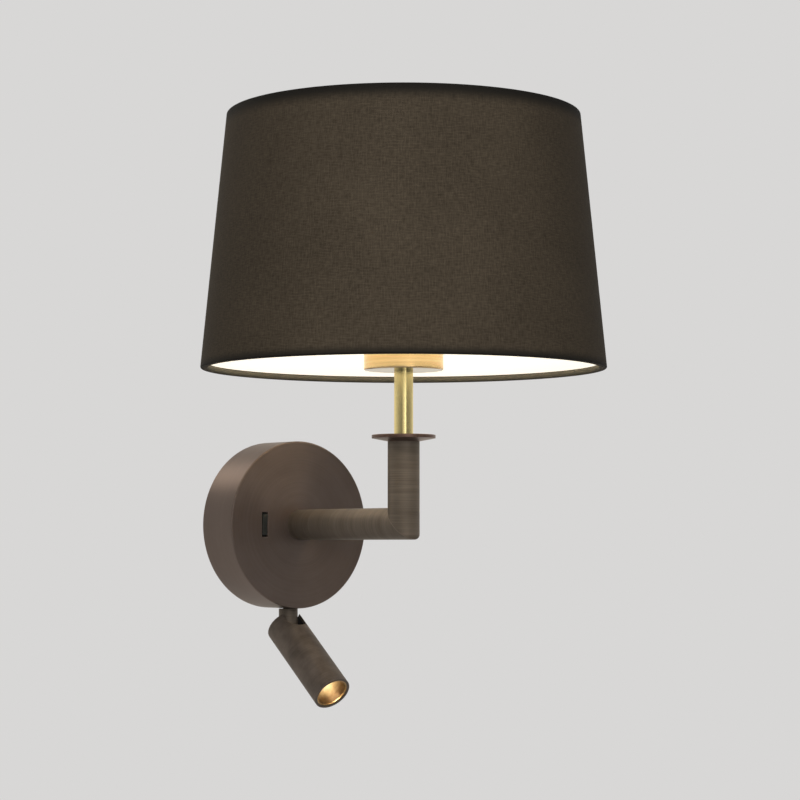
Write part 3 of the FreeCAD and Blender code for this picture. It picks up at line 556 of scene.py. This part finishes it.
def wovenShade(name, look):
    # Fine plain weave with thicker threads here and there, as in linen. UVs are in metres of cloth.
    material, tree = newMaterial(name)
    cloth = addNode(tree, "ShaderNodeUVMap", {"uv_map": "UVMap"})
    spots = addNode(tree, "ShaderNodeSeparateXYZ", None, {0: cloth}).outputs

    def threads(across, along):
        # one set of threads: how high each stands, and its slubs
        turns = addNode(
            tree, "ShaderNodeMath", {"operation": "MULTIPLY"},
            {0: across, 1: math.pi / (look["thread"] * mm)},
        )
        wave = addNode(tree, "ShaderNodeMath", {"operation": "SINE"}, {0: turns})
        ridge = addNode(tree, "ShaderNodeMath", {"operation": "ABSOLUTE"}, {0: wave})
        wide = addNode(
            tree, "ShaderNodeMath", {"operation": "MULTIPLY"},
            {0: across, 1: patternScale(look["slubWidth"])},
        )
        far = addNode(
            tree, "ShaderNodeMath", {"operation": "MULTIPLY"},
            {0: along, 1: patternScale(look["slubLength"])},
        )
        spot = addNode(tree, "ShaderNodeCombineXYZ", None, {"X": wide, "Y": far})
        slub = addNode(
            tree, "ShaderNodeTexNoise", {"noise_dimensions": "2D"},
            {"Vector": spot, "Scale": 1.0, "Detail": look["slubDetail"]},
        )
        return ridge, slub

    warpRidge, warpSlub = threads(spots["X"], spots["Y"])
    weftRidge, weftSlub = threads(spots["Y"], spots["X"])
    checks = addNode(
        tree, "ShaderNodeTexChecker", None,
        {
            "Vector": cloth, "Scale": patternScale(look["thread"]),
            "Color1": (1, 1, 1, 1), "Color2": (0, 0, 0, 1),
        },
    ).outputs["Fac"]
    weave = addNode(tree, "ShaderNodeMix", {"data_type": "FLOAT"}, {0: checks, 2: warpRidge, 3: weftRidge})
    cloud = addNode(
        tree, "ShaderNodeTexNoise", {"noise_dimensions": "2D"},
        {"Vector": cloth, "Scale": patternScale(look["cloud"]), "Detail": look["cloudDetail"]},
    )
    tone = weighed(
        tree,
        [
            (weave, look["weaveShare"]), (warpSlub, look["slubShare"]),
            (weftSlub, look["slubShare"]), (cloud, look["cloudShare"]),
        ],
    )
    inputs = toned(tree, look, tone, tone)
    # painted shade by the rolled edges, and painted light on the turned-in edge
    for mark in ("paintedEdgeShade", "tuckedPaintedLight"):
        share = addNode(tree, "ShaderNodeAttribute", {"attribute_name": mark}).outputs["Fac"]
        inputs["Base Color"] = addNode(
            tree, "ShaderNodeMix", {"data_type": "RGBA"},
            {0: share, 6: inputs["Base Color"], 7: srgb(look[mark])},
        ).outputs[2]
    slubHeight = look["slubHeight"]
    relief = weighed(
        tree, [(weave, look["weaveHeight"]), (warpSlub, slubHeight), (weftSlub, slubHeight)]
    )
    dents = addNode(
        tree, "ShaderNodeBump", None,
        {"Strength": look["relief"], "Distance": look["reliefDepth"] * mm, "Height": relief},
    )
    shader = addNode(
        tree, "ShaderNodeBsdfPrincipled", None,
        {**inputs, "Specular IOR Level": look["specular"], "Normal": dents},
    )
    addNode(tree, "ShaderNodeOutputMaterial", None, {"Surface": shader})
    return material


# Dyed linen-look cloth on a stiff film: matt dark brown, with painted shade near the rolled edges,
# and a painted lighter olive on its turned-in edge, standing for the light from inside
shadeCloth = {
    "dark": "#28221b", "light": "#4e4539", "paintedEdgeShade": "#1d1b18", "tuckedPaintedLight": "#625f54",
    "thread": 0.9,  # real threads are 0.3 mm, drawn this coarse so that they show
    "slubWidth": 0.9, "slubLength": 5.0, "slubDetail": 1.0, "cloud": 45.0, "cloudDetail": 2.0,
    "weaveShare": 0.4, "slubShare": 0.6, "cloudShare": 0.3,
    "weaveHeight": 0.6, "slubHeight": 0.3, "relief": 0.5, "reliefDepth": 0.15,
    "smooth": 0.7, "rough": 0.85, "specular": 0.1,
}
clothMaterial = wovenShade("shadeWovenCloth", shadeCloth)
linerGlowMaterial = litMaterial("shadeLiningPaintedGlow", linerPaintedGlow)
whiteParts = mouldedPlastic("whitePolyamide", whitePolyamide)
blackParts = mouldedPlastic("blackMouldedPlastic", blackPlastic)

bySlot = {
    "zinc_plated_steel": plainMetal("zincPlatedSteel", zincPlate),
    "black_rubber": mouldedPlastic("blackRubber", blackRubber),
    "white_plastic": whiteParts,
    "satin_brass": turnedMetal("turnedBrass", turnedBrass, uprightAxis),
    "black_plastic": blackParts,
    "red_bronze": collarBronze,
    "brushed_bronze": coverBronze,
    "brushed_bronze_tube": levelBronze,
    "brushed_brass": stemBrass,
    "nickel_plated_shell": plainMetal("nickelPlatedShell", nickelPlate),
    "black_glass": mouldedPlastic("blackGlassInsulator", blackGlass),
    "opal_glass": litMaterial("opalGlassLit", opalGlass),
    "black_brown_fabric": clothMaterial,
    "hem_fabric": clothMaterial,
    "cream_liner": linerGlowMaterial,
    "white_coated_wire": mouldedPlastic("whitePowderCoat", powderCoat),
    "black_anodised_aluminium": turnedMetal("blackAnodisedCore", anodisedCore, headAxis),
    "white_board": mouldedPlastic("whiteSolderMask", solderMask),
    "yellow_phosphor": litMaterial("litPhosphor", litPhosphor),
    "gold_reflector": turnedMetal("goldReflectorPaintedLight", goldCupPaintedLight, headAxis),
    "lead_sheath": mouldedPlastic("leadSheathPvc", leadSheath),
}
byNode = {
    "gallery_cup": galleryBrassPaintedLight,
    "arm_tube_upright": uprightBronze,
    "reader_stem": readerStemBronze,
    "head_sleeve": headBronze,
}
for part in frame["record"]["subparts"]:
    name = part["node"]
    nodes[name].data.materials.clear()
    nodes[name].data.materials.append(byNode.get(name, bySlot[part["material_slot"]]))
print("materials:", len(bpy.data.materials))


# Shade: one cloth rolled over both wires, and its lining film

shadeLook = {
    "bottomRadius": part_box("shade_bottom_hem")[1].x / mm, "topRadius": 111.2,
    "high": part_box("shade_top_hem")[1].z / mm, "height": 160.0,
    "cloth": 0.8, "film": 0.72, "clothToFilm": 0.03,
    "cornerRadius": 0.9,
    "wireAlong": 2.1, "wireInward": 2.9,  # middle of each wire, from the edge and from the outer face
    "rollRadius": 2.1,
    "tuckedTo": 1.75,  # the cloth's end behind the wire, next to the film
    "seamTurn": 50.7,  # degrees from +X: the glued seam is at the back, out of the photograph's view
    "lap": 5.5, "lapLift": 0.85,
    "liftFrom": 1.0, "liftTo": 0.2,  # in laps before its own start: where it begins to rise, and has
    "segments": 300,
    "darkSteps": 6, "cornerSteps": 4, "rollSteps": 12,
    # painted shade near the rolled edges: how far it reaches, then how strong it is at the top and the bottom
    "darkTop": 11.0, "darkBottom": 6.0,  # how far the cloth looks darker from its rolled edges
    "topShare": 1.25, "bottomShare": 0.95,
    # depths from the face: where the painted shade ends, and where the tuck's painted light begins
    "darkDepth": 2.0, "tuckedDepth": 3.8,  # from the face: where that ends, and the tuck begins
}
shadeLow = shadeLook["high"] - shadeLook["height"]
shadeNarrowing = shadeLook["bottomRadius"] - shadeLook["topRadius"]
shadeAngle = math.atan2(shadeNarrowing, shadeLook["height"])
shadeSlope = math.hypot(shadeNarrowing, shadeLook["height"])


def shadeSkin(along, inward):
    # radius and height of a point: along the outer face from its lower edge, and square to it
    lean, rise = math.sin(shadeAngle), math.cos(shadeAngle)
    radius = shadeLook["bottomRadius"] - along * lean - inward * rise
    return radius, shadeLow + along * rise - inward * lean


def arcPoints(centre, radius, start, end, steps):
    turns = [math.radians(start + (end - start) * step / steps) for step in range(steps + 1)]
    return [
        (centre[0] + radius * math.sin(turn), centre[1] + radius * math.cos(turn)) for turn in turns
    ]


def rolledEdge(look, darkFor):
    # down the outer face, round the corner, under the wire, and back behind it to the film
    steps = look["darkSteps"]
    corner = look["cornerRadius"]
    wire = (look["wireAlong"], look["wireInward"])
    return (
        [(darkFor * step / steps, 0) for step in range(steps, 0, -1)]
        + arcPoints((corner, corner), corner, 180, 270, look["cornerSteps"])
        + arcPoints(wire, look["rollRadius"], -90, 90, look["rollSteps"])
        + [(wire[0] + look["rollRadius"], look["tuckedTo"])]
    )


def turnedSheetTree():
    # Turns a profile round the shade's axis, with its last stretch lapped over its first
    tree = bpy.data.node_groups.new("turnedSheet", "GeometryNodeTree")
    face = tree.interface
    face.new_socket("Geometry", in_out="INPUT", socket_type="NodeSocketGeometry")
    for name in ("Path Radius", "Start Angle", "Sweep Angle", "Rise Start", "Rise End", "Lap Lift"):
        face.new_socket(name, in_out="INPUT", socket_type="NodeSocketFloat")
    face.new_socket("Segments", in_out="INPUT", socket_type="NodeSocketInt")
    face.new_socket("Material", in_out="INPUT", socket_type="NodeSocketMaterial")
    face.new_socket("Geometry", in_out="OUTPUT", socket_type="NodeSocketGeometry")
    given = addNode(tree, "NodeGroupInput").outputs
    line = addNode(tree, "GeometryNodeMeshToCurve", None, {"Mesh": given["Geometry"]})
    length = addNode(tree, "GeometryNodeSplineParameter").outputs["Length"]
    path = addNode(
        tree, "GeometryNodeCurveArc", None,
        {
            "Resolution": given["Segments"], "Radius": given["Path Radius"],
            "Start Angle": given["Start Angle"], "Sweep Angle": given["Sweep Angle"],
        },
    )
    kept = []
    for curve, name in ((line, "along"), (path, "around")):
        capture = addNode(tree, "GeometryNodeCaptureAttribute")
        capture.capture_items.new("FLOAT", name)
        tree.links.new(curve.outputs[0], capture.inputs[0])
        tree.links.new(length, capture.inputs[1])
        kept.append(capture)
    profile, ring = kept
    sheet = addNode(
        tree, "GeometryNodeCurveToMesh", None, {"Curve": ring, "Profile Curve": profile}
    )
    rise = addNode(
        tree, "ShaderNodeMapRange", {"interpolation_type": "SMOOTHSTEP"},
        {
            "Value": ring.outputs[1], "From Min": given["Rise Start"], "From Max": given["Rise End"],
            "To Min": 0.0, "To Max": given["Lap Lift"],
        },
    )
    normal = addNode(tree, "GeometryNodeInputNormal")
    offset = addNode(tree, "ShaderNodeVectorMath", {"operation": "SCALE"}, {0: normal, "Scale": rise})
    lapped = addNode(tree, "GeometryNodeSetPosition", None, {"Geometry": sheet, "Offset": offset})
    flatSpot = addNode(
        tree, "ShaderNodeCombineXYZ", None, {"X": ring.outputs[1], "Y": profile.outputs[1]}
    )
    mapped = addNode(
        tree, "GeometryNodeStoreNamedAttribute", {"data_type": "FLOAT2", "domain": "CORNER"},
        {"Geometry": lapped, "Name": "UVMap", "Value": flatSpot},
    )
    smooth = addNode(tree, "GeometryNodeSetShadeSmooth", None, {"Geometry": mapped})
    real = addNode(tree, "GeometryNodeRealizeInstances", None, {"Geometry": smooth})
    made = addNode(
        tree, "GeometryNodeSetMaterial", None, {"Geometry": real, "Material": given["Material"]}
    )
    addNode(tree, "NodeGroupOutput", None, {0: made})
    return tree


def fromTree(name, tree, settings, start=(), edges=(), thickness=0):
    # runs a tree on a small starting mesh, and keeps the result as a plain mesh on the upright's axis
    mesh = bpy.data.meshes.new(name + "Start")
    mesh.from_pydata(list(start), list(edges), [])
    source = newObject(name + "Start", mesh)
    modifier = source.modifiers.new("tree", "NODES")
    modifier.node_group = tree
    sockets = tree.interface.items_tree
    inputs = {socket.name: socket.identifier for socket in sockets if socket.in_out == "INPUT"}
    for key, value in settings.items():
        modifier[inputs[key]] = value
    if thickness:
        solid = source.modifiers.new("thickness", "SOLIDIFY")
        solid.thickness = thickness
        solid.offset = -1
    finished = source.evaluated_get(bpy.context.evaluated_depsgraph_get())
    made = bpy.data.meshes.new_from_object(finished)
    bpy.data.objects.remove(source)
    made.name = name
    made.transform(Matrix.Translation(upright))
    return newObject(name, made)


sheetTree = turnedSheetTree()


def makeShadeSheet(name, profile, thickness, lapLift, material):
    look = shadeLook
    pathRadius = look["bottomRadius"] * mm
    wayRound = 2 * math.pi * pathRadius
    lap = look["lap"] * mm
    settings = {
        "Path Radius": pathRadius, "Segments": look["segments"], "Material": material,
        "Start Angle": math.radians(look["seamTurn"]), "Sweep Angle": 2 * math.pi + lap / pathRadius,
        "Rise Start": wayRound - lap * look["liftFrom"], "Rise End": wayRound - lap * look["liftTo"],
        "Lap Lift": lapLift * mm,
    }
    start = [(radius * mm - pathRadius, -height * mm, 0) for radius, height in profile]
    edges = [(spot, spot + 1) for spot in range(len(start) - 1)]
    return fromTree(name, sheetTree, settings, start, edges, thickness * mm)


lowerEdge = rolledEdge(shadeLook, shadeLook["darkBottom"])
upperEdge = reversed(rolledEdge(shadeLook, shadeLook["darkTop"]))
wholeEdge = [(shadeSlope - along, inward) for along, inward in upperEdge] + lowerEdge
clothProfile = [shadeSkin(along, inward) for along, inward in wholeEdge]
cloth = makeShadeSheet(
    "shadeCloth", clothProfile, shadeLook["cloth"], shadeLook["lapLift"], clothMaterial
)


def limited(share):
    return max(0.0, min(1.0, share))


def markPaintedLightAndShade(piece, look):
    # painted shade by how near each point of the outer face is to a rolled edge,
    # and painted light on the points that lie behind the wires
    paintedEdgeShade = piece.data.attributes.new("paintedEdgeShade", "FLOAT", "POINT")
    tuckedPaintedLight = piece.data.attributes.new("tuckedPaintedLight", "FLOAT", "POINT")
    for spot, vertex in enumerate(piece.data.vertices):
        place = vertex.co - upright
        height = place.z / mm
        face = look["bottomRadius"] - (height - shadeLow) * math.tan(shadeAngle)
        depth = face - math.hypot(place.x, place.y) / mm
        share = max(
            look["topShare"] * (1 - (look["high"] - height) / look["darkTop"]),
            look["bottomShare"] * (1 - (height - shadeLow) / look["darkBottom"]),
        )
        share = limited(share) * limited(look["darkDepth"] - depth)
        paintedEdgeShade.data[spot].value = share * share * (3 - 2 * share)  # eased at both ends
        tuckedPaintedLight.data[spot].value = limited(depth - look["tuckedDepth"])


markPaintedLightAndShade(cloth, shadeLook)
filmFace = shadeLook["cloth"] + shadeLook["clothToFilm"]
filmProfile = [shadeSkin(along, filmFace) for along in (shadeSlope - filmFace, filmFace)]
lining = makeShadeSheet("shadeLining", filmProfile, shadeLook["film"], 0, linerGlowMaterial)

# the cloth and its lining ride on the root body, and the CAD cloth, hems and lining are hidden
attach(cloth, "root")
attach(lining, "root")
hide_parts("shade_fabric", "shade_top_hem", "shade_bottom_hem")
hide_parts("shade_liner")
print("shade made:", len(cloth.data.polygons), "faces in the cloth")


# Grip ribs round the ring nut that holds the shade

ribLook = {
    "count": 60,
    "rib": 0.5, "proud": 0.25,  # radius of a rib, and how much of it stands out
    "sides": 8,
    "share": 0.8,  # of the nut's height
}


def ribRingTree():
    tree = bpy.data.node_groups.new("ribRing", "GeometryNodeTree")
    face = tree.interface
    face.new_socket("Geometry", in_out="INPUT", socket_type="NodeSocketGeometry")
    for name in ("Ring Radius", "Rib Radius", "Rib Height", "Middle Height"):
        face.new_socket(name, in_out="INPUT", socket_type="NodeSocketFloat")
    face.new_socket("Count", in_out="INPUT", socket_type="NodeSocketInt")
    face.new_socket("Material", in_out="INPUT", socket_type="NodeSocketMaterial")
    face.new_socket("Geometry", in_out="OUTPUT", socket_type="NodeSocketGeometry")
    given = addNode(tree, "NodeGroupInput").outputs
    path = addNode(
        tree, "GeometryNodeCurvePrimitiveCircle", None,
        {"Resolution": given["Count"], "Radius": given["Ring Radius"]},
    )
    points = addNode(tree, "GeometryNodeCurveToPoints", {"mode": "EVALUATED"}, {"Curve": path})
    rib = addNode(
        tree, "GeometryNodeMeshCylinder", None,
        {
            "Vertices": ribLook["sides"], "Radius": given["Rib Radius"],
            "Depth": given["Rib Height"],
        },
    )
    ribs = addNode(tree, "GeometryNodeInstanceOnPoints", None, {"Points": points, "Instance": rib})
    lift = addNode(tree, "ShaderNodeCombineXYZ", None, {"Z": given["Middle Height"]})
    raised = addNode(
        tree, "GeometryNodeTranslateInstances", None, {"Instances": ribs, "Translation": lift}
    )
    real = addNode(tree, "GeometryNodeRealizeInstances", None, {"Geometry": raised})
    made = addNode(
        tree, "GeometryNodeSetMaterial", None, {"Geometry": real, "Material": given["Material"]}
    )
    addNode(tree, "NodeGroupOutput", None, {0: made})
    return tree


nutLow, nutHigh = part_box("shade_ring_nut")
ribs = fromTree(
    "ringNutRibs", ribRingTree(),
    {
        "Ring Radius": (nutHigh.x - nutLow.x) / 2 - (ribLook["rib"] - ribLook["proud"]) * mm,
        "Rib Radius": ribLook["rib"] * mm,
        "Rib Height": (nutHigh.z - nutLow.z) * ribLook["share"],
        "Middle Height": (nutHigh.z + nutLow.z) / 2,
        "Count": ribLook["count"],
        "Material": whiteParts,
    },
)
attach(ribs, "root")
print("ring nut ribs:", ribLook["count"])


# Rocker of the switch, its moulded edges rounded

rockerLook = {
    "mergeWithin": 0.001,
    "flatWithin": 1, "sharpFrom": 30,  # degrees between two faces
    "edge": 0.35, "segments": 3,
    "profile": 0.5,  # a round edge
}


def softened(nodeName, name, look, material):
    # a merged copy of a CAD node with its sharp edges rounded
    shape = bmesh.new()
    shape.from_mesh(nodes[nodeName].data)
    bmesh.ops.remove_doubles(shape, verts=shape.verts, dist=look["mergeWithin"] * mm)
    flat = math.radians(look["flatWithin"])
    bmesh.ops.dissolve_limit(shape, angle_limit=flat, verts=shape.verts, edges=shape.edges)
    inner = [edge for edge in shape.edges if len(edge.link_faces) == 2]
    sharp = [edge for edge in inner if edge.calc_face_angle() > math.radians(look["sharpFrom"])]
    bmesh.ops.bevel(
        shape, geom=sharp, offset=look["edge"] * mm, offset_type="OFFSET",
        segments=look["segments"], profile=look["profile"], affect="EDGES", clamp_overlap=True,
    )
    mesh = bpy.data.meshes.new(name)
    shape.to_mesh(mesh)
    shape.free()
    mesh.materials.append(material)
    return newObject(name, mesh)


rocker = softened("switch_rocker", "switchRockerRounded", rockerLook, blackParts)
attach(rocker, "rocker")
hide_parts("switch_rocker")
print("rocker rounded:", len(rocker.data.polygons), "faces")


# Floor, light and world

stageLook = {
    "floorDrop": 1.1,  # below the lamp
    "floorRadius": 8.0, "floorSides": 64,
    "fadeFrom": 0.8, "fadeTo": 3.2,
    "floorColour": "#e2e1df",
    "floorSeen": 0.4,  # pale to the eye and in mirrors, without lighting the lamp
    "background": "#d8d7d6",
    "fill": 0.08,  # what matt surfaces get from all round
    # what metal mirrors, from the dim room to the wall in warm light, as shares of the top level
    "mirrored": (
        (0.0, "#4c4e50"), (0.35, "#77797a"), (0.7, "#a9a8a6"), (0.85, "#b8b4ad"), (1.0, "#b5ada0"),
    ),
    "mirroredTop": 1.9,
    "brightWay": (0.4, 0.8, -0.1),
}


def makeFloor(look):
    material, tree = newMaterial("paleFloor")
    place = addNode(tree, "ShaderNodeTexCoord").outputs["Object"]
    far = addNode(tree, "ShaderNodeVectorMath", {"operation": "LENGTH"}, {0: place}).outputs["Value"]
    fade = addNode(
        tree, "ShaderNodeMapRange", {"interpolation_type": "SMOOTHSTEP"},
        {"Value": far, "From Min": look["fadeFrom"], "From Max": look["fadeTo"]},
    )
    paint = addNode(tree, "ShaderNodeBsdfDiffuse", None, {"Color": srgb(look["floorColour"])})
    rays = addNode(tree, "ShaderNodeLightPath").outputs
    direct = addNode(
        tree, "ShaderNodeMath", {"operation": "MAXIMUM"},
        {0: rays["Is Camera Ray"], 1: rays["Is Transmission Ray"]},
    )
    shown = addNode(
        tree, "ShaderNodeMath", {"operation": "MAXIMUM"}, {0: direct, 1: rays["Is Glossy Ray"]}
    )
    level = addNode(
        tree, "ShaderNodeMath", {"operation": "MULTIPLY"}, {0: shown, 1: look["floorSeen"]}
    )
    pale = addNode(
        tree, "ShaderNodeEmission", None, {"Color": srgb(look["background"]), "Strength": level}
    )
    both = addNode(tree, "ShaderNodeAddShader", None, {0: paint, 1: pale})
    clear = addNode(tree, "ShaderNodeBsdfTransparent")
    surface = addNode(tree, "ShaderNodeMixShader", None, {0: fade, 1: both, 2: clear})
    addNode(tree, "ShaderNodeOutputMaterial", None, {"Surface": surface})
    height = cadLow.z - look["floorDrop"]
    sides = look["floorSides"]
    turns = [2 * math.pi * side / sides for side in range(sides)]
    ring = [
        (look["floorRadius"] * math.cos(turn), look["floorRadius"] * math.sin(turn), height)
        for turn in turns
    ]
    mesh = bpy.data.meshes.new("floor")
    mesh.from_pydata(ring, [], [tuple(range(sides))])
    mesh.materials.append(material)
    floor = newObject("floor", mesh)


def makeWorld(look):
    # an even fill for matt surfaces, a brighter wall side for metal, and a pale background to see
    world = bpy.data.worlds.new("softStudio")
    world.use_nodes = True
    tree = world.node_tree
    tree.nodes.clear()
    way = addNode(tree, "ShaderNodeTexCoord").outputs["Generated"]
    facing = addNode(
        tree, "ShaderNodeVectorMath", {"operation": "DOT_PRODUCT"}, {0: way, 1: look["brightWay"]}
    ).outputs["Value"]
    share = addNode(
        tree, "ShaderNodeMapRange", None, {"Value": facing, "From Min": -1.0, "From Max": 1.0}
    )
    shades = addNode(tree, "ShaderNodeValToRGB", None, {0: share})
    setStops(shades, look["mirrored"])
    rays = addNode(tree, "ShaderNodeLightPath").outputs
    matt = addNode(tree, "ShaderNodeBackground", None, {"Strength": look["fill"]})
    mirrored = addNode(
        tree, "ShaderNodeBackground", None, {"Color": shades, "Strength": look["mirroredTop"]}
    )
    light = addNode(
        tree, "ShaderNodeMixShader", None, {0: rays["Is Glossy Ray"], 1: matt, 2: mirrored}
    )
    seen = addNode(tree, "ShaderNodeBackground", None, {"Color": srgb(look["background"])})
    direct = addNode(
        tree, "ShaderNodeMath", {"operation": "MAXIMUM"},
        {0: rays["Is Camera Ray"], 1: rays["Is Transmission Ray"]},
    )
    surface = addNode(tree, "ShaderNodeMixShader", None, {0: direct, 1: light, 2: seen})
    addNode(tree, "ShaderNodeOutputWorld", None, {"Surface": surface})
    bpy.context.scene.world = world


# Each lamp: its turn from -Y and its lift in degrees, its distance and sides in metres,
# how bright its face is, where 1 is white, and whether metal mirrors it
lampLooks = {
    "keySoftbox": {
        "turn": -39, "lift": 15, "far": 1.3, "sides": (0.7, 0.7), "level": 9.0, "mirrored": False,
    },
    "frontPanel": {
        "turn": -33, "lift": 8, "far": 2.0, "sides": (1.3, 1.3), "level": 0.6, "mirrored": True,
    },
    "stripBox": {
        "turn": -18, "lift": 5, "far": 2.0, "sides": (0.6, 1.5), "level": 1.5, "mirrored": True,
    },
    "wallSoftbox": {
        "turn": 141, "lift": 25, "far": 1.9, "sides": (1.2, 1.2), "level": 4.0, "mirrored": False,
    },
    "wallPool": {
        "turn": -164, "lift": 34, "far": 1.9, "sides": (0.9, 0.7), "level": 2.4, "mirrored": True,
        "colour": "#fff0df",
    },
}


def addLamp(name, look):
    data = bpy.data.lights.new(name, "AREA")
    data.shape = "RECTANGLE"
    data.size, data.size_y = look["sides"]
    data.color = srgb(look.get("colour", "#ffffff"))[:3]
    data.energy = look["level"] * math.pi * data.size * data.size_y
    lamp = newObject(name, data)
    turn = math.radians(look["turn"])
    lift = math.radians(look["lift"])
    level = math.cos(lift)
    back = Vector((math.sin(turn) * level, -math.cos(turn) * level, math.sin(lift)))
    lamp.location = (cadLow + cadHigh) / 2 + back * look["far"]
    lamp.rotation_euler = back.to_track_quat("Z", "Y").to_euler()
    lamp.visible_glossy = look["mirrored"]


makeFloor(stageLook)
makeWorld(stageLook)
for name, look in lampLooks.items():
    addLamp(name, look)
bpy.context.scene.view_settings.view_transform = "Standard"
print("stage made, lamps:", len(lampLooks))
